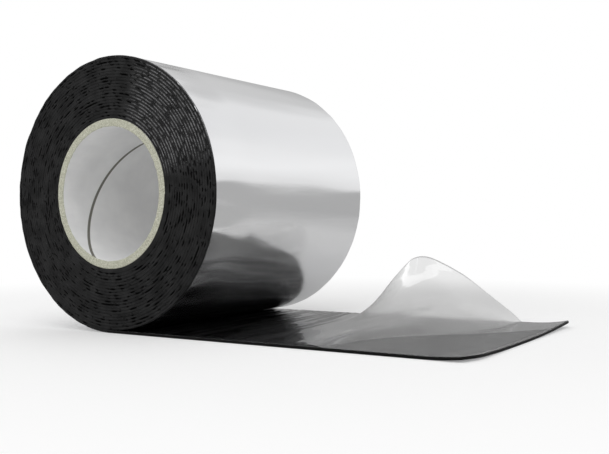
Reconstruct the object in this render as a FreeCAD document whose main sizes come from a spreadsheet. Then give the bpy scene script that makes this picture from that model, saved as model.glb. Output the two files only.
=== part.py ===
"""Roll of waterproof repair tape, lying on the floor with its tail run out.

Frame, in millimetres: the origin is the middle of the core's bore, +Y runs along the bore, away from the
end of the roll that is looked at, +X is the way the tail runs out along the floor, and +Z is up.

The tape is wound as a spiral made of half turns. The upper halves are centred on the bore's axis. The
lower halves are centred half a pitch further along +X and are half a pitch larger, so each half turn
runs on into the next, and the last one runs on into the flat tail.
"""

import FreeCAD
import Part
import Sketcher
import math
import os

from FreeCAD import Vector

# Driving sizes, in millimetres, and in degrees where the name says so
SIZES = {
    "core_bore_dia": 76.2,
    "core_wall": 4.5,
    "tape_width": 150.0,
    "foil_thick": 0.17,
    "butyl_thick": 1.5,
    "liner_thick": 0.1,
    "turn_count": 20,
    "turn_groove": 0.5,
    "nip_reach": 5.0,
    "tail_reach": 217.0,
    "end_skew": 2.5,
    "curl_length": 25.0,
    "curl_far": 2.8,
    "curl_near": 1.5,
    "crest_before_curl": 69.3,
    "lift_far": 38.3,
    "lift_near": 2.0,
    "lift_lean": 28.0,
    "lift_rise_deg": 47.0,
    "lift_fall_deg": 38.0,
    "lift_crest_radius": 16.0,
    "lift_back_radius": 45.0,
}

# Expressions that several sketches share, in the sheet's own names
PITCH = "(sizes.foil_thick + sizes.butyl_thick + sizes.liner_thick)"
CORE_RADIUS = "(sizes.core_bore_dia / 2 + sizes.core_wall)"
ROLL_RADIUS = f"({CORE_RADIUS} + floor(sizes.turn_count) * {PITCH})"
LOWER_CENTRE = f"({PITCH} / 2)"
FLOOR_DEPTH = f"({ROLL_RADIUS} + {PITCH} / 2)"
HALF_WIDTH = "(sizes.tape_width / 2)"
CURL_START = "(sizes.tail_reach - sizes.curl_length)"

doc = FreeCAD.newDocument("repair_tape_roll")


def make_sheet():
    """Writes the driving sizes into a spreadsheet, one to a row."""
    sizes = doc.addObject("Spreadsheet::Sheet", "sizes")
    for row, (alias, value) in enumerate(SIZES.items(), start=1):
        sizes.set(f"A{row}", alias)
        sizes.set(f"B{row}", str(value))
        sizes.setAlias(f"B{row}", alias)
    doc.recompute()
    return sizes


sheet = make_sheet()
turns = int(sheet.turn_count)
pitch = sheet.foil_thick + sheet.butyl_thick + sheet.liner_thick
core_radius = sheet.core_bore_dia / 2 + sheet.core_wall
roll_radius = core_radius + turns * pitch
half_width = sheet.tape_width / 2
floor = -(roll_radius + pitch / 2)
butyl_underside = floor + sheet.foil_thick
butyl_top = butyl_underside + sheet.butyl_thick
curl_start = sheet.tail_reach - sheet.curl_length


def new_sketch(body, name, role):
    """An empty sketch on the body's own origin plane with that role."""
    plane = next(item for item in body.Origin.OriginFeatures if item.Role == role)
    sketch = body.newObject("Sketcher::SketchObject", name)
    sketch.AttachmentSupport = [(plane, "")]
    sketch.MapMode = "FlatFace"
    return sketch


def bind(sketch, constraint, rule):
    """Adds a constraint and ties its value to an expression of the sheet."""
    index = sketch.addConstraint(constraint)
    sketch.setExpression(f"Constraints[{index}]", rule)


def draw_outline(sketch, corners):
    """Draws a closed outline of straight lines.

    Each corner is (across, up), and each of the two is a value with the expression that holds it.
    """
    for index, (across, up) in enumerate(corners):
        next_across, next_up = corners[(index + 1) % len(corners)]
        start = Vector(across[0], up[0], 0)
        end = Vector(next_across[0], next_up[0], 0)
        sketch.addGeometry(Part.LineSegment(start, end), False)
    for index in range(len(corners)):
        following = (index + 1) % len(corners)
        sketch.addConstraint(Sketcher.Constraint("Coincident", index, 2, following, 1))
    for index, (across, up) in enumerate(corners):
        bind(sketch, Sketcher.Constraint("DistanceX", -1, 1, index, 1, across[0]), across[1])
        bind(sketch, Sketcher.Constraint("DistanceY", -1, 1, index, 1, up[0]), up[1])


def draw_circle(sketch, radius, rule):
    """Draws a circle about the bore's axis."""
    circle = sketch.addGeometry(Part.Circle(Vector(0, 0, 0), Vector(0, 0, 1), radius), False)
    sketch.addConstraint(Sketcher.Constraint("Coincident", circle, 3, -1, 1))
    bind(sketch, Sketcher.Constraint("Radius", circle, radius), rule)


def draw_lower_axis(sketch):
    """Draws the line that the lower halves turn about, half a pitch from the bore's axis."""
    start = Vector(pitch / 2, -half_width, 0)
    end = Vector(pitch / 2, half_width, 0)
    line = sketch.addGeometry(Part.LineSegment(start, end), True)
    sketch.addConstraint(Sketcher.Constraint("Vertical", line))
    bind(sketch, Sketcher.Constraint("DistanceX", -1, 1, line, 1, pitch / 2), LOWER_CENTRE)
    bind(sketch, Sketcher.Constraint("DistanceY", -1, 1, line, 1, -half_width), f"-1 * {HALF_WIDTH}")
    bind(sketch, Sketcher.Constraint("DistanceY", -1, 1, line, 2, half_width), HALF_WIDTH)


def revolve(body, name, sketch, axis, degrees, backwards):
    """Turns a section about the bore's axis or the sketch's own line."""
    feature = body.newObject("PartDesign::Revolution", name)
    feature.Profile = sketch
    feature.ReferenceAxis = (sketch, [axis])
    feature.Angle = degrees
    feature.Reversed = backwards
    feature.Refine = False
    sketch.Visibility = False
    doc.recompute()
    return feature


def pad_to_width(body, name, sketch):
    """Extrudes an outline to the tape's whole width, equally to both sides."""
    feature = body.newObject("PartDesign::Pad", name)
    feature.Profile = sketch
    feature.SideType = "Symmetric"
    feature.setExpression("Length", "sizes.tape_width")
    feature.Refine = False
    sketch.Visibility = False
    doc.recompute()


def tail_end(height, thickness):
    """The last stretch of one layer of the tail, whose two corners curl up off the floor.

    The layer's underside is a smooth patch that leaves the flat tail at its own height. The cut end
    runs a little out of square.
    """
    lift_at_end = [sheet.curl_near, sheet.curl_near / 3, 0, 0, sheet.curl_far / 12, sheet.curl_far / 2,
                   sheet.curl_far]
    across_places = [0, 1 / 12, 1 / 4, 1 / 2, 3 / 4, 11 / 12, 1]
    along_places = [0, 1 / 3, 2 / 3, 1]
    along_lifts = [0, 0, 1 / 3, 1]
    poles = []
    for along, share in zip(along_places, along_lifts):
        row = []
        for across, lift in zip(across_places, lift_at_end):
            length = sheet.curl_length - sheet.end_skew * across
            y = -half_width + across * sheet.tape_width
            row.append(Vector(curl_start + along * length, y, height + lift * share))
        poles.append(row)
    patch = Part.BSplineSurface()
    patch.buildFromPolesMultsKnots(
        poles, [4, 4], [4, 1, 1, 1, 4], [0, 1], [0, 1, 2, 3, 4], False, False, 3, 3)
    return patch.toShape().extrude(Vector(0, 0, thickness))


def join_tail_end(name, body, height, thickness):
    """Joins the curled end to a layer that has been wound and laid flat."""
    end = doc.addObject("Part::Feature", f"{name}_end")
    end.Shape = tail_end(height, thickness)
    whole = doc.addObject("Part::Fuse", name)
    whole.Base = body
    whole.Tool = end
    whole.Refine = False
    doc.recompute()
    return whole


def make_core_tube():
    """The cardboard tube."""
    body = doc.addObject("PartDesign::Body", "core_tube")
    sketch = new_sketch(body, "core_outline", "XZ_Plane")
    draw_circle(sketch, core_radius, CORE_RADIUS)
    draw_circle(sketch, sheet.core_bore_dia / 2, "sizes.core_bore_dia / 2")
    pad_to_width(body, "core_pad", sketch)
    return body


def coil_section(body, name, side, first_turn):
    """Half of a cut through the winding, on the +X side (side 1) or the -X side (side -1).

    On the near end each turn swells to the tape's full width and falls back into a groove beside the
    next turn. The far end is left flat here. The section starts below the core's surface, and the bore
    is cut to size afterwards.
    """
    crest = (-half_width, f"-1 * {HALF_WIDTH}")
    valley = (sheet.turn_groove - half_width, f"(sizes.turn_groove - {HALF_WIDTH})")
    far_edge = (half_width, HALF_WIDTH)
    inner = (side * (core_radius - pitch), f"{side} * ({CORE_RADIUS} - {PITCH})")
    rim = (side * (roll_radius - sheet.foil_thick), f"{side} * ({ROLL_RADIUS} - sizes.foil_thick)")
    corners = [(inner, far_edge), (inner, valley)]
    for turn in range(first_turn, turns):
        between = (side * (core_radius + turn * pitch), f"{side} * ({CORE_RADIUS} + {turn} * {PITCH})")
        middle = (between[0] + side * pitch / 2, f"{between[1]} + {side} * {PITCH} / 2")
        corners += [(between, valley), (middle, crest)]
    corners += [(rim, crest), (rim, far_edge)]
    sketch = new_sketch(body, name, "XY_Plane")
    draw_outline(sketch, corners)
    return sketch


def far_end_section(body):
    """What is cut off the far end, to leave a plainer ridge over each two turns."""
    above = (half_width + sheet.turn_groove, f"({HALF_WIDTH} + sizes.turn_groove)")
    crest = (half_width - sheet.turn_groove / 5, f"({HALF_WIDTH} - sizes.turn_groove / 5)")
    valley = (half_width - sheet.turn_groove, f"({HALF_WIDTH} - sizes.turn_groove)")
    inner = (core_radius - pitch, f"({CORE_RADIUS} - {PITCH})")
    corners = [(inner, above), (inner, valley)]
    for turn in range(turns - 1):
        between = (core_radius + turn * pitch, f"({CORE_RADIUS} + {turn} * {PITCH})")
        corners.append((between, crest if turn % 2 else valley))
    last = (between[0] + pitch / 2, f"({between[1]} + {PITCH} / 2)")
    corners += [(last, crest), (last, above)]
    sketch = new_sketch(body, "far_end_section", "XY_Plane")
    draw_outline(sketch, corners)
    return sketch


def make_butyl_coil():
    """The wound butyl with its tail: one solid, with the turns showing on both ends."""
    body = doc.addObject("PartDesign::Body", "wound_butyl")

    upper = coil_section(body, "upper_section", 1, 0)
    revolve(body, "upper_halves", upper, "V_Axis", 180, True)

    left = coil_section(body, "lower_left_section", -1, 0)
    draw_lower_axis(left)
    revolve(body, "lower_left_quarters", left, "Axis0", 90, True)

    right = coil_section(body, "lower_right_section", 1, 1)
    draw_lower_axis(right)
    revolve(body, "lower_right_quarters", right, "Axis0", 90, False)

    tail = new_sketch(body, "tail_outline", "XZ_Plane")
    start = (pitch / 2, LOWER_CENTRE)
    nip = (pitch / 2 + sheet.nip_reach, f"({LOWER_CENTRE} + sizes.nip_reach)")
    end = (curl_start, CURL_START)
    underside = (butyl_underside, f"(sizes.foil_thick - {FLOOR_DEPTH})")
    top = (butyl_top, f"({underside[1]} + sizes.butyl_thick)")
    buried = (butyl_top + pitch, f"({top[1]} + {PITCH})")
    draw_outline(tail, [(start, underside), (end, underside), (end, top), (nip, top), (nip, buried),
                        (start, buried)])
    pad_to_width(body, "tail_pad", tail)

    groove = body.newObject("PartDesign::Groove", "far_end_turns")
    groove.Profile = far_end_section(body)
    groove.ReferenceAxis = (groove.Profile[0], ["V_Axis"])
    groove.Angle = 360
    groove.Refine = False
    doc.recompute()

    bore = new_sketch(body, "bore_outline", "XZ_Plane")
    draw_circle(bore, core_radius, CORE_RADIUS)
    pocket = body.newObject("PartDesign::Pocket", "bore")
    pocket.Profile = bore
    pocket.Type = "ThroughAll"
    pocket.SideType = "Symmetric"
    pocket.Refine = False
    bore.Visibility = False
    return join_tail_end("butyl_coil", body, butyl_underside, sheet.butyl_thick)


def foil_section(body, name, side):
    """A cut through the facing where it wraps the roll."""
    near_edge = (-half_width, f"-1 * {HALF_WIDTH}")
    far_edge = (half_width, HALF_WIDTH)
    inside = (side * (roll_radius - sheet.foil_thick), f"{side} * ({ROLL_RADIUS} - sizes.foil_thick)")
    outside = (side * roll_radius, f"{side} * {ROLL_RADIUS}")
    sketch = new_sketch(body, name, "XY_Plane")
    draw_outline(sketch, [(inside, near_edge), (outside, near_edge), (outside, far_edge),
                          (inside, far_edge)])
    return sketch


def make_foil_facing():
    """The aluminium facing: once round the outside of the roll, then along the tail's underside."""
    body = doc.addObject("PartDesign::Body", "wrapped_foil")
    upper = foil_section(body, "foil_upper_section", 1)
    revolve(body, "foil_over_the_top", upper, "V_Axis", 180, True)

    left = foil_section(body, "foil_left_section", -1)
    draw_lower_axis(left)
    revolve(body, "foil_down_the_left", left, "Axis0", 90, True)

    # The facing of the turn before last goes out of sight where it meets the tail
    right = foil_section(body, "foil_right_section", 1)
    draw_lower_axis(right)
    hidden = math.asin(sheet.nip_reach / (roll_radius - pitch / 2 - sheet.foil_thick))
    up_right = revolve(body, "foil_up_the_right", right, "Axis0", 90 - math.degrees(hidden), False)
    up_right.setExpression(
        "Angle", f"90 - asin(sizes.nip_reach / ({ROLL_RADIUS} - {PITCH} / 2 - sizes.foil_thick)) / 1deg")

    tail = new_sketch(body, "foil_tail_outline", "XZ_Plane")
    start = (pitch / 2, LOWER_CENTRE)
    end = (curl_start, CURL_START)
    underside = (floor, f"-1 * {FLOOR_DEPTH}")
    top = (butyl_underside, f"(sizes.foil_thick - {FLOOR_DEPTH})")
    draw_outline(tail, [(start, underside), (end, underside), (end, top), (start, top)])
    pad_to_width(body, "foil_tail_pad", tail)
    return join_tail_end("foil_facing", body, floor, sheet.foil_thick)


def lifted_bend():
    """The surface that the liner follows where it stands up off the tape.

    It is one bend, the same all along: a straight flank up to a tight crest, then a wider bend and a
    second straight flank down again. Along the way to the near edge it sinks into the tape's surface.
    It is drawn square to its own direction, through the crest, and longer than the tape is wide.
    """
    crest_top = Vector(curl_start - sheet.crest_before_curl, half_width, butyl_top + sheet.lift_far)
    along = Vector(sheet.lift_lean, -sheet.tape_width, sheet.lift_near - sheet.lift_far).normalize()
    across = (Vector(1, 0, 0) - along * along.x).normalize()
    upward = across.cross(along) * -1
    spare = sheet.lift_far
    start = crest_top - along * spare

    def bend_point(radius, degrees):
        """A point on the bend, as far round from the crest's top as the angle says."""
        angle = math.radians(degrees)
        return start + across * radius * math.sin(angle) - upward * radius * (1 - math.cos(angle))

    def flank_foot(top, degrees):
        """The foot of a flank, well below the tape's surface."""
        angle = math.radians(degrees)
        reach = 2 * sheet.lift_far / abs(math.sin(angle))
        direction = across * math.copysign(math.cos(angle), degrees) - upward * abs(math.sin(angle))
        return top + direction * reach

    rise = -sheet.lift_rise_deg
    fall = sheet.lift_fall_deg
    crest_radius = sheet.lift_crest_radius
    back_radius = sheet.lift_back_radius
    crest_foot = bend_point(crest_radius, rise)
    back_foot = bend_point(back_radius, fall)
    outline = Part.Wire([
        Part.LineSegment(flank_foot(crest_foot, rise), crest_foot).toShape(),
        Part.Arc(crest_foot, bend_point(crest_radius, rise / 2), start).toShape(),
        Part.Arc(start, bend_point(back_radius, fall / 2), back_foot).toShape(),
        Part.LineSegment(back_foot, flank_foot(back_foot, fall)).toShape(),
    ])
    return outline.extrude(along * (sheet.tape_width + 3 * spare))


def make_release_liner():
    """The clear film on the sticky side of the tail, flat on the tape on both sides of its lifted bend."""
    bend = lifted_bend()
    under_bend = bend.extrude(Vector(0, 0, -4 * sheet.lift_far))
    film_start = pitch / 2 + sheet.nip_reach
    corner = Vector(film_start, -half_width, butyl_top)
    flat = Part.makeBox(curl_start - film_start, sheet.tape_width, sheet.liner_thick, corner)
    above_tape = Part.makeBox(curl_start - film_start, sheet.tape_width, 2 * sheet.lift_far, corner)
    lifted = bend.extrude(Vector(0, 0, sheet.liner_thick)).common(above_tape)
    end = tail_end(butyl_top, sheet.liner_thick)
    feature = doc.addObject("Part::Feature", "release_liner")
    feature.Shape = flat.cut(under_bend).multiFuse([lifted, end]).Solids[0]
    return feature


def write_pieces(pieces):
    """Stops on a failed object or a poor shape, then writes one file for each piece."""
    doc.recompute()
    for item in doc.Objects:
        if "Invalid" in item.State or "Error" in item.State:
            raise RuntimeError(f"{item.Name} failed: {item.State}")
    os.makedirs("parts", exist_ok=True)
    for piece in pieces:
        shape = piece.Shape
        if shape.isNull() or not shape.isValid() or len(shape.Solids) != 1:
            raise RuntimeError(f"{piece.Label} isn't one valid solid")
        box = shape.BoundBox
        print(f"{piece.Label}: volume {shape.Volume:.0f}, faces {len(shape.Faces)}, "
              f"x {box.XMin:.2f} to {box.XMax:.2f}, y {box.YMin:.2f} to {box.YMax:.2f}, "
              f"z {box.ZMin:.2f} to {box.ZMax:.2f}")
        shape.exportStep(f"parts/{piece.Label}.step")


write_pieces([make_core_tube(), make_butyl_coil(), make_foil_facing(), make_release_liner()])
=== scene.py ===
# %% [markdown]
# # A roll of waterproof repair tape
# The real thing is three layers wound together on a paper core: an aluminium facing, a thick
# layer of black butyl, and a clear film that keeps the butyl from sticking to the next turn.
# The solids of the part are loaded first. Everything made here is fitted to them, in metres,
# with the middle of the core's bore as the origin and the roll lying on its side.

# %% Load the solids
import bpy
import bmesh
from math import pi, sin, cos, hypot, atan2, exp, log
from mathutils import Vector, Matrix, noise


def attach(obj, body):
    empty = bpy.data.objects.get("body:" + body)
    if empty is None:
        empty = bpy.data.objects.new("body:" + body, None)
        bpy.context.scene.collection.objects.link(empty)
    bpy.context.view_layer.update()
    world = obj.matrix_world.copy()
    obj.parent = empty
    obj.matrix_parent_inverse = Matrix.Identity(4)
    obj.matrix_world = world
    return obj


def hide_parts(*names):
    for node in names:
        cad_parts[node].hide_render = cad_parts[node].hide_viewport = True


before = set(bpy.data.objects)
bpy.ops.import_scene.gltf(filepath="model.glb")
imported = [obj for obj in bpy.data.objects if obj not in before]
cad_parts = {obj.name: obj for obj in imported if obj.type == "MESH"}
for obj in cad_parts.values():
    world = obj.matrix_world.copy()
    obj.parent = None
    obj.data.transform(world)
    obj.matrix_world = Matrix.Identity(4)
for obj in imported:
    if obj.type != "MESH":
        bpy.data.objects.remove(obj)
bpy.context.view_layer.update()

# %% [markdown]
# The roll grows by one thickness of tape each turn. A wound roll can be drawn with half circles
# from two centres that stand half a pitch apart, which is also how the solids were drawn, so the
# turns made here fall exactly on theirs.

# %% Sizes of the winding
PITCH = 0.00177
SHIFT = PITCH / 2
BORE_RADIUS = 0.0381
CORE_RADIUS = 0.0426
TURNS = 20
HALF_WIDTH = 0.075
FOIL = 0.00017
BUTYL = 0.0015
FILM = 0.0001
ROLL_RADIUS = CORE_RADIUS + TURNS * PITCH
FLOOR = -(ROLL_RADIUS + SHIFT)
TAIL_TOP = FLOOR + FOIL + BUTYL
TAIL_END = 0.217
print("roll radius", ROLL_RADIUS, "floor", round(FLOOR, 6))

# %% [markdown]
# The camera stands low and close, to the right of the roll, as in the photograph.

# %% Camera
camera_data = bpy.data.cameras.new("camera")
camera_data.lens = 50.77
camera_data.sensor_width = 36.0
camera_data.clip_start = 0.01
camera_data.clip_end = 50
camera = bpy.data.objects.new("camera", camera_data)
bpy.context.scene.collection.objects.link(camera)
yaw, pitch, roll = 0.5861, 0.0007, -0.01
ahead = Vector((-sin(yaw) * cos(pitch), cos(yaw) * cos(pitch), -sin(pitch)))
level = Vector((cos(yaw), sin(yaw), 0))
upright = level.cross(ahead)
side = cos(roll) * level + sin(roll) * upright
top = -sin(roll) * level + cos(roll) * upright
turned = Matrix((side, top, -ahead)).transposed().to_4x4()
camera.matrix_world = Matrix.Translation((0.3611, -0.4187, FLOOR + 0.0593)) @ turned
bpy.context.scene.camera = camera
bpy.context.scene.view_settings.view_transform = "Standard"
print("camera at", [round(c, 4) for c in camera.matrix_world.translation])

# %% [markdown]
# Small tools that every piece uses: one that puts a finished bmesh into the scene, and one that
# turns a row of edges round one of the two centres of the winding.

# %% Helpers for pieces
def place(name, bm, materials, node):
    """Puts a bmesh into the scene as a piece that stands for a solid."""
    mesh = bpy.data.meshes.new(name)
    bm.to_mesh(mesh)
    bm.free()
    for face in mesh.polygons:
        face.use_smooth = True
    piece = bpy.data.objects.new(name, mesh)
    bpy.context.scene.collection.objects.link(piece)
    for material in materials:
        mesh.materials.append(material)
    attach(piece, "root")
    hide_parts(node)
    print(name, "has", sum(len(f.vertices) - 2 for f in mesh.polygons), "triangles")
    return piece


def half_turn(bm, geom, centre_x, angle, steps):
    """Turns a row of edges about the bore's direction and gives back the last row."""
    made = bmesh.ops.spin(bm, geom=geom, cent=(centre_x, 0, 0), axis=(0, -1, 0), dvec=(0, 0, 0),
                          angle=angle, space=Matrix(), steps=steps, use_merge=False,
                          use_normal_flip=False, use_duplicate=False)
    return made["geom_last"]


def row_of_points(bm, points, closed=False):
    """A row of edges through a few points."""
    verts = [bm.verts.new(p) for p in points]
    edges = [bm.edges.new((a, b)) for a, b in zip(verts, verts[1:])]
    if closed:
        edges.append(bm.edges.new((verts[-1], verts[0])))
    return verts + edges

# %% [markdown]
# These say where a point lies in the winding: in which turn, how far along the tape, how deep the
# facing has sunk there, and about which centre its side of the roll is turned. In one sector of
# the end the turns stand further apart, like a comb.

# %% Places in the winding
COMB_MIDDLE, COMB_REACH = 42, 38


def layer_of(x, z):
    """How many turns of tape lie between the core and a point."""
    if z >= 0:
        return (hypot(x, z) - CORE_RADIUS) / PITCH
    return (hypot(x - SHIFT, z) - SHIFT - CORE_RADIUS) / PITCH


def length_along(x, z, turn):
    """How far along the wound tape a point lies."""
    radius = CORE_RADIUS + (turn + 0.5) * PITCH
    before = 2 * pi * (turn * (CORE_RADIUS + SHIFT) + PITCH * turn * turn / 2)
    angle = atan2(z, x if z >= 0 else x - SHIFT)
    if angle < 0:
        angle += 2 * pi
    return before + radius * angle


def foil_sink(x, y, z):
    """How far the facing has sunk into the soft butyl under it."""
    near_rim = exp(-(HALF_WIDTH - abs(y)) / 0.006)
    swell = noise.noise(Vector((x * 28, y * 22, z * 28))) * 0.00010
    ripple = noise.noise(Vector((x * 75, y * 18, z * 75))) * 0.00005
    scallop = noise.noise(Vector((x * 130, y * 30 + 5, z * 130))) * 0.00022 * near_rim
    tucked = 0.00014 * exp(-(y + HALF_WIDTH) / 0.0025)
    sink = max(0.0, 0.00018 + swell + ripple + scallop) + tucked
    return sink * min(1.0, (z - FLOOR) / 0.01)


def comb_mask(x, z):
    """Strongest in the upper right of the roll's end, where the turns stand apart like a comb."""
    angle = atan2(z, x) * 180 / pi
    return max(0.0, 1 - abs(angle - COMB_MIDDLE) / COMB_REACH)


def skin_of(x, z):
    """The centre and radius of the facing's outer surface on this side of the roll."""
    if z >= 0:
        return 0.0, ROLL_RADIUS
    return SHIFT, ROLL_RADIUS + SHIFT - (PITCH if x > SHIFT else 0)

# %% [markdown]
# ## Materials
# These helpers make the nodes that the finishes share: a material with its shader, a Math node, a
# Color Ramp, a Map Range and a mix of two colours.

# %% Node helpers
def new_group(name, inputs, outputs):
    """A shader node group with its sockets, and its two end nodes."""
    group = bpy.data.node_groups.new(name, "ShaderNodeTree")
    for label, kind, value in inputs:
        socket = group.interface.new_socket(label, in_out="INPUT", socket_type=kind)
        socket.default_value = value
    for label, kind in outputs:
        group.interface.new_socket(label, in_out="OUTPUT", socket_type=kind)
    return group, group.nodes.new("NodeGroupInput"), group.nodes.new("NodeGroupOutput")


def new_material(name, color, roughness, **sockets):
    """A material with its Principled shader, whose plain values are set on its own sockets."""
    material = bpy.data.materials.new(name)
    material.use_nodes = True
    shader = material.node_tree.nodes["Principled BSDF"]
    shader.inputs["Base Color"].default_value = (*color, 1)
    shader.inputs["Roughness"].default_value = roughness
    for label, value in sockets.items():
        shader.inputs[label.replace("_", " ")].default_value = value
    print("material", name)
    return material, material.node_tree.nodes, material.node_tree.links, shader


def maths(nodes, links, operation, first, second=None, clamp=False):
    """One Math node, from sockets or numbers."""
    node = nodes.new("ShaderNodeMath")
    node.operation = operation
    node.use_clamp = clamp
    for socket, value in zip(node.inputs, (first, second)):
        if isinstance(value, (int, float)):
            socket.default_value = value
        elif value is not None:
            links.new(value, socket)
    return node.outputs[0]


def ramp(nodes, links, value, stops):
    """A Color Ramp from a value, with its stops as places and colours."""
    node = nodes.new("ShaderNodeValToRGB")
    while len(node.color_ramp.elements) < len(stops):
        node.color_ramp.elements.new(0.5)
    for element, (place_at, color) in zip(node.color_ramp.elements, stops):
        element.position = place_at
        element.color = (*color, 1) if len(color) == 3 else color
    links.new(value, node.inputs["Fac"])
    return node.outputs["Color"]


def map_range(nodes, links, value, start, end, low=0.0, high=1.0, smooth=False):
    """A Map Range node that turns start and end into low and high."""
    node = nodes.new("ShaderNodeMapRange")
    if smooth:
        node.interpolation_type = "SMOOTHSTEP"
    limits = (("From Min", start), ("From Max", end), ("To Min", low), ("To Max", high))
    for label, number in limits:
        node.inputs[label].default_value = number
    links.new(value, node.inputs["Value"])
    return node.outputs[0]


def mix_color(nodes, links, factor, first, second):
    """A colour between two, each a socket or plain values."""
    node = nodes.new("ShaderNodeMix")
    node.data_type = "RGBA"
    links.new(factor, node.inputs[0])
    for socket, value in ((node.inputs[6], first), (node.inputs[7], second)):
        if isinstance(value, tuple):
            socket.default_value = (*value, 1)
        else:
            links.new(value, socket)
    return node.outputs[2]

# %% [markdown]
# Two effects are wanted in most finishes: a fine unevenness of the surface, and colour that drifts
# a little. Both come from one node group, which each finish uses with its own scale.

# %% Group: drifting unevenness
uneven, g_in, g_out = new_group(
    "unevenness",
    [("Vector", "NodeSocketVector", (0, 0, 0)), ("Scale", "NodeSocketFloat", 100.0),
     ("Detail", "NodeSocketFloat", 4.0)],
    [("Height", "NodeSocketFloat"), ("Drift", "NodeSocketFloat")])
fine = uneven.nodes.new("ShaderNodeTexNoise")
broad = uneven.nodes.new("ShaderNodeTexNoise")
uneven.links.new(g_in.outputs["Vector"], fine.inputs["Vector"])
uneven.links.new(g_in.outputs["Vector"], broad.inputs["Vector"])
uneven.links.new(g_in.outputs["Scale"], fine.inputs["Scale"])
uneven.links.new(g_in.outputs["Detail"], fine.inputs["Detail"])
broad_scale = maths(uneven.nodes, uneven.links, "MULTIPLY", g_in.outputs["Scale"], 0.08)
uneven.links.new(broad_scale, broad.inputs["Scale"])
uneven.links.new(fine.outputs["Fac"], g_out.inputs["Height"])
uneven.links.new(broad.outputs["Fac"], g_out.inputs["Drift"])
print("group", uneven.name, "with", len(uneven.nodes), "nodes")


def add_unevenness(nodes, links, vector, scale, detail=4.0):
    """The unevenness group in one material, with that material's scale."""
    node = nodes.new("ShaderNodeGroup")
    node.node_tree = uneven
    node.inputs["Scale"].default_value = scale
    node.inputs["Detail"].default_value = detail
    links.new(vector, node.inputs["Vector"])
    return node.outputs["Height"], node.outputs["Drift"]


def add_bump(nodes, links, shader, height, distance, strength=1.0):
    """A Bump node in front of the shader's normal."""
    node = nodes.new("ShaderNodeBump")
    node.inputs["Distance"].default_value = distance
    node.inputs["Strength"].default_value = strength
    links.new(height, node.inputs["Height"])
    links.new(node.outputs["Normal"], shader.inputs["Normal"])


def vary_roughness(nodes, links, shader, value, spread, least):
    """Lets the roughness follow a noise, from the least value up."""
    rough = maths(nodes, links, "MULTIPLY_ADD", value, spread)
    rough.node.inputs[2].default_value = least
    links.new(rough, shader.inputs["Roughness"])

# %% [markdown]
# The core is wound from strips of paper, so its bore shows one dark seam that climbs round it
# like a screw thread. The seam is found from the object's own coordinates: the angle round the
# bore and the distance along it, folded at one lead of the thread.

# %% Bore paper
SEAM_LEAD = 0.1297
SEAM_Y, SEAM_ANGLE = -0.0275, 2.1014
SEAM_CLEAR, SEAM_DARK = 0.00125, 0.00085
bore_paper, nodes, links, shader = new_material("bore_paper", (0.62, 0.62, 0.64), 0.62)
coord = nodes.new("ShaderNodeTexCoord").outputs["Object"]
parts = nodes.new("ShaderNodeSeparateXYZ")
links.new(coord, parts.inputs[0])
angle = maths(nodes, links, "ARCTAN2", parts.outputs["Z"], parts.outputs["X"])
climb = maths(nodes, links, "MULTIPLY", angle, SEAM_LEAD / (2 * pi))
thread = maths(nodes, links, "ADD", parts.outputs["Y"], climb)
start = -SEAM_Y - SEAM_ANGLE * SEAM_LEAD / (2 * pi) + SEAM_LEAD * 10.5
thread = maths(nodes, links, "ADD", thread, start)
folded = maths(nodes, links, "MODULO", thread, SEAM_LEAD)
off_seam = maths(nodes, links, "ABSOLUTE", maths(nodes, links, "SUBTRACT", folded, SEAM_LEAD / 2))
seam = map_range(nodes, links, off_seam, SEAM_CLEAR, SEAM_DARK)
height, drift = add_unevenness(nodes, links, coord, 900.0)
paper = ramp(nodes, links, drift, [(0.3, (0.80, 0.80, 0.80)), (0.7, (0.88, 0.88, 0.875))])
links.new(mix_color(nodes, links, seam, paper, (0.16, 0.155, 0.13)), shader.inputs["Base Color"])
add_bump(nodes, links, shader, height, 0.00008, 0.5)

# %% [markdown]
# The cut rim shows the board's rough inside: creamy, with darker and lighter fibres.

# %% Cut rim of the core
rim_board, nodes, links, shader = new_material("rim_board", (0.60, 0.60, 0.44), 0.85)
coord = nodes.new("ShaderNodeTexCoord").outputs["Object"]
height = add_unevenness(nodes, links, coord, 2200.0, 6.0)[0]
board = ramp(nodes, links, height,
             [(0.3, (0.30, 0.30, 0.22)), (0.5, (0.52, 0.52, 0.41)), (0.7, (0.74, 0.74, 0.64))])
links.new(board, shader.inputs["Base Color"])
add_bump(nodes, links, shader, height, 0.0004, 0.8)

# %% [markdown]
# The ends of the roll are dull black butyl. Beside each groove the edge of the foil is painted as a
# fine bright line, a painted glint. It is painted only in the comb's sector, where the light
# catches these edges, and the line is broken by a noise. The line is found from the UV map, whose
# second coordinate counts the turns.

# %% Butyl: painted glint on the edges of the foil
COMB_ANGLE = 0.75
butyl_paint, nodes, links, shader = new_material(
    "butyl_paint", (0.016, 0.016, 0.0165), 0.5, Specular_IOR_Level=0.10)
coord = nodes.new("ShaderNodeTexCoord").outputs["Object"]
wound = nodes.new("ShaderNodeSeparateXYZ")
links.new(nodes.new("ShaderNodeUVMap").outputs["UV"], wound.inputs[0])
layer = wound.outputs["Y"]
groove = maths(nodes, links, "ROUND", layer)
beside = maths(nodes, links, "ABSOLUTE", maths(nodes, links, "SUBTRACT", layer, groove))
line = map_range(nodes, links, beside, 0.22, 0.12)
parts = nodes.new("ShaderNodeSeparateXYZ")
links.new(coord, parts.inputs[0])
angle = maths(nodes, links, "ARCTAN2", parts.outputs["Z"], parts.outputs["X"])
off_comb = maths(nodes, links, "ABSOLUTE", maths(nodes, links, "SUBTRACT", angle, COMB_ANGLE))
comb = map_range(nodes, links, off_comb, 0.62, 0.30, smooth=True)
height, drift = add_unevenness(nodes, links, coord, 1500.0, 5.0)
lifted = maths(nodes, links, "SUBTRACT", height, 0.36)
broken = maths(nodes, links, "MULTIPLY", lifted, 5.0, clamp=True)
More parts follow.
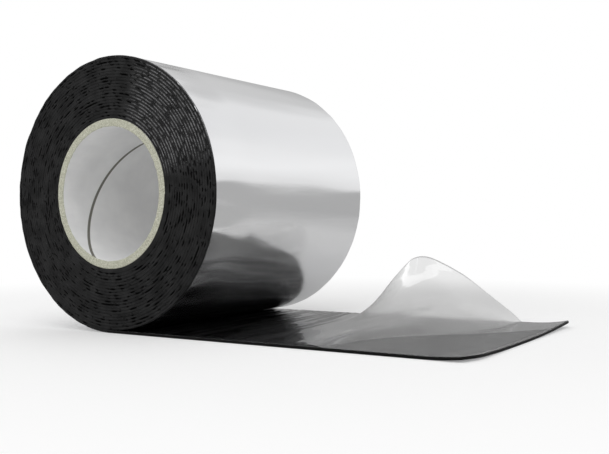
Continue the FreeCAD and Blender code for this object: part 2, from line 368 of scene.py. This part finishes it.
broken_line = maths(nodes, links, "MULTIPLY", line, broken)
# Painted glint: the foil edges' bright line is kept to the comb's sector, where the light catches it.
foil_edge_glint = maths(nodes, links, "MULTIPLY", broken_line, comb)

# %% [markdown]
# The pits between the turns are real hollows in the mesh. Each point of the ribbon knows how deep
# its pit is, and painted shade makes the paint darkest there. Small dots, painted dark as shaded
# hollows, are strewn over the rest.

# %% Butyl: pits and grain
pit = nodes.new("ShaderNodeAttribute")
pit.attribute_name = "pit"
pit_edge = map_range(nodes, links, pit.outputs["Fac"], 0.25, 0.50)
dot_height = add_unevenness(nodes, links, coord, 620.0, 0.5)[0]
# Painted shade: small dots, sunk as hollows by the bump below, are painted dark.
shaded_dots = map_range(nodes, links, dot_height, 0.70, 0.74)
pit_shade_and_depth = maths(nodes, links, "MAXIMUM", pit_edge, shaded_dots)
half_comb = maths(nodes, links, "MULTIPLY", comb, 0.5)
pit_shade_and_depth = maths(nodes, links, "SUBTRACT", pit_shade_and_depth, half_comb, clamp=True)
shade = ramp(nodes, links, drift, [(0.35, (0.011, 0.011, 0.0112)), (0.65, (0.022, 0.022, 0.0222))])
# Painted glint: the foil edges are painted light grey.
shade = mix_color(nodes, links, foil_edge_glint, shade, (0.28, 0.28, 0.285))
# Painted shade: the pits and dots are painted near black.
shade = mix_color(nodes, links, pit_shade_and_depth, shade, (0.002, 0.002, 0.002))
links.new(shade, shader.inputs["Base Color"])
vary_roughness(nodes, links, shader, height, 0.25, 0.42)
grain = maths(nodes, links, "MULTIPLY", height, 0.3)
relief = maths(nodes, links, "SUBTRACT", grain, pit_shade_and_depth)
add_bump(nodes, links, shader, relief, 0.0006, 0.7)

# %% [markdown]
# Under the film the butyl is pressed smooth and shines a little. Its cut sides are painted darker
# than the same butyl on the roll's ends, as painted shade, and are the darkest part of the tail.

# %% Butyl under the film
# Painted shade: a darker copy of the butyl for the tail's cut sides.
butyl_cut_shaded = new_material("butyl_cut_shaded", (0.005, 0.005, 0.005), 0.6, Specular_IOR_Level=0.08)[0]
butyl_smooth, nodes, links, shader = new_material("butyl_smooth", (0.012, 0.012, 0.0125), 0.22)
coord = nodes.new("ShaderNodeTexCoord").outputs["Object"]
height, drift = add_unevenness(nodes, links, coord, 160.0, 2.0)
shade = ramp(nodes, links, drift, [(0.3, (0.009, 0.009, 0.0095)), (0.7, (0.016, 0.016, 0.0165))])
links.new(shade, shader.inputs["Base Color"])
vary_roughness(nodes, links, shader, height, 0.16, 0.14)

# %% [markdown]
# The facing is bright metal with soft ripples that run across the tape. They are placed by the UV
# map, in metres along and across the tape, and grow towards the near rim.

# %% Aluminium
foil_metal, nodes, links, shader = new_material("foil_metal", (0.80, 0.80, 0.81), 0.13, Metallic=1.0)
uv = nodes.new("ShaderNodeUVMap").outputs["UV"]
stretch = nodes.new("ShaderNodeMapping")
stretch.inputs["Scale"].default_value = (60.0, 9.0, 1.0)
links.new(uv, stretch.inputs["Vector"])
height, drift = add_unevenness(nodes, links, stretch.outputs["Vector"], 3.0, 6.0)
tone = ramp(nodes, links, drift, [(0.3, (0.76, 0.765, 0.78)), (0.7, (0.84, 0.84, 0.845))])
links.new(tone, shader.inputs["Base Color"])
vary_roughness(nodes, links, shader, height, 0.10, 0.09)
wave = add_unevenness(nodes, links, stretch.outputs["Vector"], 0.7, 1.0)[0]
width_way = nodes.new("ShaderNodeSeparateXYZ")
links.new(uv, width_way.inputs[0])
near_rim = map_range(nodes, links, width_way.outputs["Y"], -0.040, -0.075,
                     low=0.28, high=1.0, smooth=True)
dents = maths(nodes, links, "MULTIPLY", wave, near_rim)
dents = maths(nodes, links, "ADD", dents, maths(nodes, links, "MULTIPLY", height, 0.014))
add_bump(nodes, links, shader, dents, 0.0042, 1.0)

# %% [markdown]
# The film is a clear, slightly grey slab. Where its underside is sunk into the butyl no air is left
# between them, so it looks darker there than where it has let go.

# %% Film
film_clear, nodes, links, shader = new_material(
    "film_clear", (0.83, 0.83, 0.83), 0.07, Transmission_Weight=1.0, IOR=1.45)
coord = nodes.new("ShaderNodeTexCoord").outputs["Object"]
height, drift = add_unevenness(nodes, links, coord, 120.0, 3.0)
vary_roughness(nodes, links, shader, drift, 0.08, 0.03)
add_bump(nodes, links, shader, height, 0.0002, 0.25)

# %% [markdown]
# ## Core
# A tube wound from board. Its profile is a rectangle with softened corners, turned once round.
# The rims are cut with a knife and are a little ragged, so their points are moved by a noise.

# %% Core tube
bm = bmesh.new()
CORE_STEPS = 300
wall = CORE_RADIUS - BORE_RADIUS
edge = 0.0004
profile = []
for end in (-1, 1):
    y = end * HALF_WIDTH
    across = [(0, edge), (edge * 0.3, edge * 0.3), (edge, 0)]
    across += [(wall * k / 6, 0) for k in range(1, 6)]
    across += [(wall - edge, 0), (wall - edge * 0.3, edge * 0.3), (wall, edge)]
    if end == 1:
        across.reverse()
    profile += [(BORE_RADIUS + a, y - end * b) for a, b in across]
    if end == -1:
        profile += [(CORE_RADIUS, -0.05), (CORE_RADIUS, 0.0), (CORE_RADIUS, 0.05)]
    else:
        profile += [(BORE_RADIUS, y) for y in (0.06, 0.03, 0.0, -0.03, -0.06)]
ring = row_of_points(bm, [(r, y, 0) for r, y in profile], closed=True)
bmesh.ops.spin(bm, geom=ring, cent=(0, 0, 0), axis=(0, -1, 0), dvec=(0, 0, 0), angle=2 * pi,
               space=Matrix(), steps=CORE_STEPS, use_merge=True, use_normal_flip=False,
               use_duplicate=False)
bmesh.ops.remove_doubles(bm, verts=bm.verts, dist=1e-6)
bmesh.ops.recalc_face_normals(bm, faces=bm.faces)
for vert in bm.verts:
    x, y, z = vert.co
    reach = hypot(x, z)
    if abs(y) > HALF_WIDTH - 0.001 and reach < CORE_RADIUS - 0.0001:
        rag = noise.noise(Vector((x * 420, z * 420, y * 9)))
        fine_rag = noise.noise(Vector((x * 1300, z * 1300, 4 + y)))
        vert.co.y -= (0.00018 + 0.00016 * rag + 0.00015 * fine_rag) * (1 if y > 0 else -1)
        if reach < BORE_RADIUS + 0.0005:
            frayed = 1 + max(0.0, fine_rag) * 0.00045 / reach
            vert.co.x, vert.co.z = x * frayed, z * frayed
for face in bm.faces:
    middle = face.calc_center_median()
    on_rim = abs(middle.y) > HALF_WIDTH - 0.0006
    face.material_index = 1 if on_rim else 0
place("paper_core", bm, [bore_paper, rim_board], "core_tube")

# %% [markdown]
# ## Butyl
# The butyl is one long ribbon. Its cross-section, a strip with swollen edges, is turned through
# every half turn of the winding in steps of about a millimetre and a half. On the outermost turns
# the butyl bulges over the foil's near edge as a lip. The ribbon starts a little early, so that
# its cut start lies on the core, and both its ends are closed.

# %% Wound ribbon
STEP_LENGTH = 0.0015
START_BACK = 0.05
SWELL = [(0.00003, 0.00013), (0.00022, 0.00004), (0.00055, 0.0), (0.00090, 0.00002),
         (0.00125, 0.0), (0.00156, 0.00005), (0.00173, 0.00014)]
near_edge = [(CORE_RADIUS + a, -HALF_WIDTH + b) for a, b in SWELL]
far_edge = [(CORE_RADIUS + a, HALF_WIDTH - b) for a, b in reversed(SWELL[::2])]
LIP = [(CORE_RADIUS + a, y) for a, y in
       ((PITCH, -0.0747), (PITCH, -0.0740), (0.00160, -0.0737))]
ribbon_bm = bmesh.new()
steps_made = 0
for half in range(2 * TURNS):
    centre_x = 0 if half % 2 == 0 else SHIFT
    radius = CORE_RADIUS + (half // 2 + 0.5) * PITCH
    steps = max(60, int(radius * pi / STEP_LENGTH))
    way = 1 if half % 2 == 0 else -1
    out_by = (half // 2) * PITCH
    part = bmesh.new()
    strip = near_edge + (LIP if half > 2 * TURNS - 4 else []) + far_edge
    geom = row_of_points(part, [(way * (r + out_by), y, 0) for r, y in strip], closed=True)
    if half == 0:
        bmesh.ops.rotate(part, verts=part.verts, matrix=Matrix.Rotation(START_BACK, 3, (0, 1, 0)))
        half_turn(part, geom, centre_x, pi + START_BACK, steps + 2)
    elif half == 2 * TURNS - 1:
        half_turn(part, geom, centre_x, pi / 2, 80)
    else:
        half_turn(part, geom, centre_x, pi, steps)
    steps_made += steps
    part_mesh = bpy.data.meshes.new("part")
    part.to_mesh(part_mesh)
    part.free()
    ribbon_bm.from_mesh(part_mesh)
    bpy.data.meshes.remove(part_mesh)
bmesh.ops.remove_doubles(ribbon_bm, verts=ribbon_bm.verts, dist=1e-6)
open_edges = [e for e in ribbon_bm.edges if e.is_boundary]
bmesh.ops.holes_fill(ribbon_bm, edges=open_edges, sides=40)
print("the ribbon has about", steps_made, "steps")

# %% [markdown]
# The tape's edges are squeezed unevenly on the real roll and leave small pits between the turns.
# So the points of the edges are pushed in by noises that run along the ribbon. The skin of the
# outermost turn is brought under the facing, and its lip is made uneven.

# %% Pits and grooves
PIT_SCALE, PIT_LEVEL = 370, 0.20
UNDER_FOIL = 0.00003
pit_layer = ribbon_bm.verts.layers.float.new("pit")
for vert in ribbon_bm.verts:
    x, y, z = vert.co
    centre_x, skin = skin_of(x, z)
    reach = hypot(x - centre_x, z)
    if skin - 0.0003 < reach < skin + 0.00001:
        new_reach = skin - FOIL - foil_sink(x, y, z) - UNDER_FOIL
        if reach > skin - 0.00001:
            squeezed = noise.noise(Vector((x * 160, z * 160, y * 900)))
            lip_sink = max(0.0, 0.00002 + 0.00012 * squeezed) * min(1.0, (z - FLOOR) / 0.01)
            new_reach = skin - 0.00002 - lip_sink
            vert.co.y += 0.0003 * squeezed * (1 if y < 0 else -1)
        vert.co.x = centre_x + (x - centre_x) * new_reach / reach
        vert.co.z = z * new_reach / reach
    layer = layer_of(x, z)
    if z < 0 and -0.01 < layer < 0.25:
        closer = (CORE_RADIUS + 0.00003) / hypot(x, z)
        vert.co.x, vert.co.z = x * closer, z * closer
        continue
    if abs(y) < HALF_WIDTH - 0.001:
        continue
    turn = int(layer)
    across = layer - turn
    along = length_along(x, z, turn)
    inward = 1 if y < 0 else -1
    groove = turn + (1 if across > 0.5 else 0)
    wave = noise.noise(Vector((along * 60, groove * 5.3, inward))) * 0.00022
    wave += noise.noise(Vector((along * 260, groove * 3.1 + across * 2, 7))) * 0.00012
    near_groove = max(0.0, 1 - min(across, 1 - across) / 0.34)
    angle = atan2(z, x - centre_x) % (2 * pi)
    round_groove = angle * (CORE_RADIUS + groove * PITCH)
    hole = noise.noise(Vector((round_groove * PIT_SCALE, groove * 9.7, 2.5 * inward)))
    inside = 0 < groove and reach < skin - 0.0005
    open_pit = min(1.0, max(0.0, hole - PIT_LEVEL) * 6) * inside
    vert[pit_layer] = open_pit * min(1.0, near_groove * 1.5)
    combed = comb_mask(x, z) * near_groove * 0.00035
    vert.co.y += inward * (max(0.0, 0.00016 + wave) + combed + open_pit * near_groove * 0.0008)
print(sum(1 for v in ribbon_bm.verts if v[pit_layer] > 0.5), "points lie in pits")

# %% [markdown]
# The paint needs to know where on the tape it is. The UV map gives the length along the tape and
# the number of turns below, counted about the same two centres.

# %% Places along the ribbon
uv_layer = ribbon_bm.loops.layers.uv.new("UVMap")
for face in ribbon_bm.faces:
    middle = face.calc_center_median()
    upper = middle.z >= 0
    turn = max(0, int(layer_of(middle.x, middle.z)))
    centre_x = 0 if upper else SHIFT
    at_angle = atan2(middle.z, middle.x - centre_x)
    for loop in face.loops:
        x, y, z = loop.vert.co
        angle = atan2(z, x - centre_x)
        angle += 2 * pi * round((at_angle - angle) / (2 * pi))
        wound = turn + (angle if upper else angle + 2 * pi) / (2 * pi)
        layer = (hypot(x - centre_x, z) - centre_x - CORE_RADIUS) / PITCH
        loop[uv_layer].uv = (wound * 2 * pi * (CORE_RADIUS + turn * PITCH / 2), layer)
print("UV map on", len(ribbon_bm.faces), "faces")

# %% [markdown]
# The last turn runs off along the floor as a flat tail. Its end is cut slightly askew, its corners
# curl up, its near corner is worn round and its edges are pressed down.

# %% Tail of the ribbon
TAIL_STEPS = 90
WIDTH_STEPS = 60
END_SKEW = 0.0025
CURL_START = TAIL_END - 0.025
FAR_CURL, NEAR_CURL = 0.0028, 0.0015
WORN_FROM, WORN_WIDTH, WORN_BACK = 0.055, 0.020, 0.0045
EDGE_FALL, EDGE_WIDTH = 0.0002, 0.0005


def curl(x, y):
    """How far the tail's end has curled up from the floor."""
    past = max(0.0, (x - CURL_START) / (TAIL_END - CURL_START))
    side_far = max(0.0, y / HALF_WIDTH) ** 2
    side_near = max(0.0, -y / HALF_WIDTH) ** 3
    return past ** 2.2 * (FAR_CURL * side_far + NEAR_CURL * side_near)


def tail_end(y):
    """Where the skewed end of the tail lies, with its near corner worn round."""
    worn = max(0.0, (-y - WORN_FROM) / WORN_WIDTH)
    return TAIL_END - END_SKEW * (y / HALF_WIDTH + 1) / 2 - WORN_BACK * worn ** 3


def edge_round(x, y):
    """How far the pressed butyl falls away at the tape's long edges and at its end."""
    inside = min(HALF_WIDTH - abs(y), tail_end(y) - x)
    return EDGE_FALL * max(0.0, 1 - inside / EDGE_WIDTH) ** 2


def shares(vert):
    """A grid point's shares of the length and half width, with closer rows at the long edges."""
    return (vert.co.x + 1) / 2, sin(vert.co.y * pi / 2) * 0.4 + vert.co.y * 0.6


def tail_sheet(start, height):
    """A flat sheet on the tail from the nip to the skewed and curled end."""
    sheet_bm = bmesh.new()
    bmesh.ops.create_grid(sheet_bm, x_segments=TAIL_STEPS, y_segments=WIDTH_STEPS, size=1.0)
    for vert in sheet_bm.verts:
        u, v = shares(vert)
        y = v * HALF_WIDTH
        x = start + (tail_end(y) - start) * u
        vert.co = (x, y, height + curl(x, y))
    return sheet_bm


tail_bm = tail_sheet(SHIFT - 0.004, TAIL_TOP - BUTYL)
lower_faces = list(tail_bm.faces)
raised = bmesh.ops.extrude_face_region(tail_bm, geom=lower_faces)
for item in raised["geom"]:
    if isinstance(item, bmesh.types.BMVert):
        item.co.z += BUTYL - edge_round(item.co.x, item.co.y)
bmesh.ops.recalc_face_normals(tail_bm, faces=tail_bm.faces)
tail_mesh = bpy.data.meshes.new("tail_part")
tail_bm.to_mesh(tail_mesh)
tail_bm.free()
before = len(ribbon_bm.faces)
ribbon_bm.from_mesh(tail_mesh)
bpy.data.meshes.remove(tail_mesh)
ribbon_bm.faces.ensure_lookup_table()
for face in ribbon_bm.faces[before:]:
    # The tail's top gets the smooth butyl, and its cut sides get the darker copy with painted shade.
    face.material_index = 1 if face.normal.z > 0.8 else 2
place("wound_butyl", ribbon_bm, [butyl_paint, butyl_smooth, butyl_cut_shaded], "butyl_coil")

# %% [markdown]
# ## Aluminium facing
# Only the outermost turn of the facing can be seen, and the underside of the tail. One row of
# edges across the tape is turned from the nip once round the roll and then drawn out along the
# floor. Bare foil on soft butyl is never quite even, so its points sink a little here and there.

# %% Facing
FACING_STEPS = 72
NEAR_TUCK, FAR_TUCK = 0.0008, 0.00005
bm = bmesh.new()
rows = [-1, -0.996, -0.985, -0.965]
rows += [-0.94 + 1.88 * k / 46 for k in range(47)]
rows += [0.965, 0.985, 0.996, 1]
start_radius = ROLL_RADIUS - PITCH + SHIFT
line = [(SHIFT, v * (HALF_WIDTH - (NEAR_TUCK if v < 0 else FAR_TUCK)), -start_radius) for v in rows]
geom = row_of_points(bm, line)
geom = half_turn(bm, geom, SHIFT, pi / 2, 48)
geom = half_turn(bm, geom, 0, pi, 100)
geom = half_turn(bm, geom, SHIFT, pi / 2, 50)
TAIL_REACH = TAIL_END - SHIFT
for step in range(FACING_STEPS):
    edges = [e for e in geom if isinstance(e, bmesh.types.BMEdge)]
    made = bmesh.ops.extrude_edge_only(bm, edges=edges)
    geom = made["geom"]
    moved = [v for v in geom if isinstance(v, bmesh.types.BMVert)]
    bmesh.ops.translate(bm, verts=moved, vec=(TAIL_REACH / FACING_STEPS, 0, 0))
bmesh.ops.remove_doubles(bm, verts=bm.verts, dist=1e-7)
uv_layer = bm.loops.layers.uv.new("UVMap")
for face in bm.faces:
    middle = face.calc_center_median()
    for loop in face.loops:
        x, y, z = loop.vert.co
        if middle.x > SHIFT and middle.z < FLOOR + 0.0002:
            along = 0.6 + x
        else:
            turned_by = atan2(z, x) + pi / 2
            if middle.x < 0 and turned_by < 0 or (middle.x < 0 and middle.z < 0):
                turned_by += 2 * pi if turned_by < pi else 0
            along = turned_by * ROLL_RADIUS
        loop[uv_layer].uv = (along, y)
for vert in bm.verts:
    x, y, z = vert.co
    if x > SHIFT + 1e-6 and z < FLOOR + 1e-5:
        vert.co.x = SHIFT + (x - SHIFT) * (tail_end(y) - 0.0003 - SHIFT) / TAIL_REACH
        vert.co.z += curl(vert.co.x, y)
        continue
    centre_x, skin = skin_of(x, z)
    out = Vector((x - centre_x, 0, z)).normalized()
    vert.co -= out * foil_sink(x, y, z)
    if y < -0.0741:
        vert.co.y += 0.0005 * noise.noise(Vector((x * 170, z * 170, 2)))
bmesh.ops.recalc_face_normals(bm, faces=bm.faces)
facing = place("aluminium_facing", bm, [foil_metal], "foil_facing")
solid = facing.modifiers.new("foil", "SOLIDIFY")
solid.thickness = FOIL
solid.offset = -1

# %% [markdown]
# ## Release film
# The clear film lies on the butyl and has come away from the far edge, where it stands up in a
# hood. The hood is widest and highest at the far edge and dies out towards the near one. It is
# made as a grid whose points are raised by a smooth function, as a cloth would be pulled.

# %% Lift of the film
EDGE_PROFILE = [(0.0, 0.0), (0.045, 0.035), (0.098, 0.255), (0.209, 0.628), (0.318, 0.93),
                (0.36, 0.985), (0.40, 1.0), (0.45, 0.982), (0.524, 0.906), (0.649, 0.728),
                (0.768, 0.499), (0.863, 0.305), (0.955, 0.112), (1.0, 0.0)]
FOLD_LEFT = [(-0.075, 0.107), (-0.065, 0.1045), (-0.0318, 0.0964), (-0.0007, 0.0916),
             (0.0366, 0.0853), (0.075, 0.0799)]
FOLD_RIGHT = [(-0.075, 0.1425), (-0.0554, 0.1444), (-0.0414, 0.1466), (-0.0257, 0.1507),
              (-0.0133, 0.160), (-0.0008, 0.1702), (0.0201, 0.1812), (0.032, 0.1860),
              (0.05, 0.1875), (0.075, 0.187)]
HOOD_HEIGHT = [(-0.075, 0.0008), (-0.05, 0.0018), (-0.03, 0.0030), (-0.01, 0.0048), (0.01, 0.0075),
               (0.03, 0.0118), (0.045, 0.0165), (0.060, 0.0245), (0.070, 0.0330), (0.075, 0.0383)]
HOOD_CREST = [(-0.075, 0.74), (-0.03, 0.78), (0.01, 0.66), (0.045, 0.54), (0.075, 0.42)]
LIFT_END = [(-0.075, 0.1410), (-0.0586, 0.1432), (-0.038, 0.1486), (-0.022, 0.1573),
            (-0.002, 0.1760), (0.0186, 0.1950), (0.0389, 0.2110), (0.043, 0.2170), (0.075, 0.2500)]
SLACK_HEIGHT = 0.00022


def along_table(table, at):
    """A value on the smooth curve through the lines of a small table."""
    if at <= table[0][0] or at >= table[-1][0]:
        return table[0][1] if at <= table[0][0] else table[-1][1]
    after = next(k for k in range(1, len(table)) if at <= table[k][0])
    slopes = []
    for k in (after - 1, after):
        before, beyond = table[max(0, k - 1)], table[min(len(table) - 1, k + 1)]
        slopes.append((beyond[1] - before[1]) / (beyond[0] - before[0]))
    (start, low), (end, high) = table[after - 1], table[after]
    width = end - start
    t = (at - start) / width
    return ((2 * t ** 3 - 3 * t ** 2 + 1) * low + (t ** 3 - 2 * t ** 2 + t) * width * slopes[0]
            + (3 * t ** 2 - 2 * t ** 3) * high + (t ** 3 - t ** 2) * width * slopes[1])


def slack(x, y):
    """How far the film has let go of the butyl between the hood and the end of the tail."""
    from_left = (x - along_table(FOLD_LEFT, y)) / 0.008
    to_end = (along_table(LIFT_END, y) - x) / 0.0025
    return SLACK_HEIGHT * max(0.0, min(1.0, from_left, to_end))


def hood(x, y):
    """How high the film stands above the butyl in its hood."""
    left = along_table(FOLD_LEFT, y)
    right = along_table(FOLD_RIGHT, y)
    if not left < x < right:
        return 0.0
    s = (x - left) / (right - left)
    edge_shape = along_table(EDGE_PROFILE, s)
    skewed = sin(pi * s ** (log(0.5) / log(along_table(HOOD_CREST, y)))) ** 1.3
    share = max(0.0, min(1.0, (y - 0.02) / 0.055))
    return along_table(HOOD_HEIGHT, y) * (edge_shape * share + skewed * (1 - share))


print("the hood is", max(height for _, height in HOOD_HEIGHT), "m high at the far edge")

# %% [markdown]
# The grid's points are now laid on the tail, raised where the film has let go, and creased a
# little near the nip. Where it sticks, its underside lies a hair below the top of the butyl.

# %% Film on the tail
FILM_STEPS = 280
FILM_ROWS = 110
FILM_INSET = 0.0002
STUCK = 0.00002
bm = bmesh.new()
bmesh.ops.create_grid(bm, x_segments=FILM_STEPS, y_segments=FILM_ROWS, size=1.0)
film_start = SHIFT + 0.004
for vert in bm.verts:
    u, v = shares(vert)
    y = v * (HALF_WIDTH - FILM_INSET)
    x = film_start + (tail_end(y) - FILM_INSET - film_start) * u
    raised = max(hood(x, y), slack(x, y))
    slant = x + 0.12 * y
    creased = 0.00016 - abs(noise.noise(Vector((slant * 170, y * 13 + 9, 0)))) * 0.00065
    creased += noise.noise(Vector((slant * 110, y * 9, 4))) * 0.00022
    creased = max(0.0, creased) * min(1.0, exp((0.080 - x) / 0.015))
    loose = noise.noise(Vector((x * 75, y * 45, 3))) * 0.00022
    loose += noise.noise(Vector((x * 190, y * 80, 8))) * 0.00007
    loose *= min(1.0, raised / 0.0006)
    bed = TAIL_TOP + curl(x, y) - edge_round(x, y) - STUCK
    vert.co = (x, y, bed + creased + loose + raised)
bmesh.ops.recalc_face_normals(bm, faces=bm.faces)
area = sum(f.calc_area() for f in bm.faces)
print("film area", area, "length for its width", area / (2 * (HALF_WIDTH - 0.0003)))
film = place("release_film", bm, [film_clear], "release_liner")
solid = film.modifiers.new("film", "SOLIDIFY")
solid.thickness = FILM
solid.offset = 1

# %% [markdown]
# ## Studio
# A pale floor and a white surrounding. The floor keeps the shadow near the roll and turns to
# plain white further out. Only what has been mirrored once sees it as grey.

# %% Floor
bm = bmesh.new()
bmesh.ops.create_grid(bm, x_segments=1, y_segments=1, size=6.0)
bmesh.ops.translate(bm, verts=bm.verts, vec=(0, 0, FLOOR))
floor_mesh = bpy.data.meshes.new("floor")
bm.to_mesh(floor_mesh)
bm.free()
floor = bpy.data.objects.new("floor", floor_mesh)
bpy.context.scene.collection.objects.link(floor)
floor_paint, nodes, links, shader = new_material("floor_paint", (0.80, 0.80, 0.80), 0.9)
shader.inputs["Specular IOR Level"].default_value = 0.0
light = nodes.new("ShaderNodeLightPath")
lift = nodes.new("ShaderNodeEmission")
lift_strength = maths(nodes, links, "MULTIPLY", light.outputs["Is Camera Ray"], 0.22)
links.new(lift_strength, lift.inputs["Strength"])
near = nodes.new("ShaderNodeAddShader")
links.new(shader.outputs[0], near.inputs[0])
links.new(lift.outputs[0], near.inputs[1])
coord = nodes.new("ShaderNodeTexCoord").outputs["Object"]
far = nodes.new("ShaderNodeVectorMath")
far.operation = "LENGTH"
links.new(coord, far.inputs[0])
away = map_range(nodes, links, far.outputs["Value"], 0.22, 0.50, smooth=True)
glow = nodes.new("ShaderNodeEmission")
reflected = maths(nodes, links, "GREATER_THAN", light.outputs["Glossy Depth"], 0.5)
glow_color = mix_color(nodes, links, reflected, (1.0, 1.0, 1.0), (0.48, 0.48, 0.48))
links.new(glow_color, glow.inputs["Color"])
blend = nodes.new("ShaderNodeMixShader")
seen = maths(nodes, links, "ADD", light.outputs["Is Camera Ray"], light.outputs["Is Glossy Ray"])
seen = maths(nodes, links, "ADD", seen, light.outputs["Is Transmission Ray"], clamp=True)
links.new(maths(nodes, links, "MULTIPLY", away, seen), blend.inputs[0])
links.new(near.outputs[0], blend.inputs[1])
links.new(glow.outputs[0], blend.inputs[2])
links.new(blend.outputs[0], nodes["Material Output"].inputs["Surface"])
floor_mesh.materials.append(floor_paint)
print("floor at", round(FLOOR, 6))

# %% [markdown]
# The surrounding is white to the eye and through the film. What the aluminium and the film mirror
# is a graded grey: darkest at the horizon, brighter above it, and darker on the left.

# %% World
world = bpy.data.worlds.new("studio")
bpy.context.scene.world = world
world.use_nodes = True
nodes, links = world.node_tree.nodes, world.node_tree.links
nodes.clear()
light = nodes.new("ShaderNodeLightPath")
reflected = maths(nodes, links, "GREATER_THAN", light.outputs["Glossy Depth"], 0.5)
direct = maths(nodes, links, "ADD", light.outputs["Is Camera Ray"],
               light.outputs["Is Transmission Ray"], clamp=True)
ways = nodes.new("ShaderNodeTexCoord").outputs["Generated"]
parts = nodes.new("ShaderNodeSeparateXYZ")
links.new(ways, parts.inputs[0])
right_sky = ramp(nodes, links, parts.outputs["Z"],
                 [(0.0, (0.48, 0.48, 0.48)), (0.055, (0.50, 0.50, 0.50)), (0.095, (0.88, 0.88, 0.88)),
                  (0.30, (1.06, 1.06, 1.06)), (0.52, (0.95, 0.95, 0.95)), (0.65, (0.93, 0.93, 0.93))])
left_sky = ramp(nodes, links, parts.outputs["Z"],
                [(0.0, (0.40, 0.40, 0.40)), (0.15, (0.47, 0.47, 0.47)), (0.30, (0.50, 0.50, 0.50)),
                 (0.50, (0.66, 0.66, 0.66)), (0.70, (0.72, 0.72, 0.72)), (1.0, (0.42, 0.42, 0.42))])
sideways = map_range(nodes, links, parts.outputs["X"], -0.22, -0.02, smooth=True)
mirrored = mix_color(nodes, links, sideways, left_sky, right_sky)
plain = mix_color(nodes, links, direct, (0.62, 0.62, 0.62), (1.0, 1.0, 1.0))
seen = maths(nodes, links, "ADD", direct, light.outputs["Is Glossy Ray"], clamp=True)
mirror_share = maths(nodes, links, "MULTIPLY", reflected, seen)
surrounding = mix_color(nodes, links, mirror_share, plain, mirrored)
back = nodes.new("ShaderNodeBackground")
back.inputs["Strength"].default_value = 1.0
links.new(surrounding, back.inputs["Color"])
out = nodes.new("ShaderNodeOutputWorld")
links.new(back.outputs[0], out.inputs["Surface"])
print("world", world.name)

# %% [markdown]
# Two large soft lamps light the roll from above and from the left. A narrow one behind it on the
# left gives the bright band across the film's hood.

# %% Lamps
def soft_lamp(name, place_at, aim, size, radiance):
    """A soft rectangular lamp that faces a point."""
    data = bpy.data.lights.new(name, "AREA")
    data.shape = "RECTANGLE"
    data.size, data.size_y = size
    data.energy = radiance * pi * size[0] * size[1]
    lamp = bpy.data.objects.new(name, data)
    bpy.context.scene.collection.objects.link(lamp)
    lamp.location = place_at
    lamp.rotation_euler = (Vector(aim) - Vector(place_at)).to_track_quat("-Z", "Y").to_euler()
    print(name, "faces", aim)


soft_lamp("lamp_above", (0.35, -0.75, 1.1), (0.05, 0, 0), (1.1, 1.1), 1.1)
soft_lamp("lamp_front", (-0.5, -1.3, 0.45), (0, -0.05, 0), (0.9, 0.7), 1.2)
soft_lamp("lamp_strip", (-0.43, 0.32, 1.10), (0.14, 0.065, -0.05), (0.28, 2.1), 1.3)
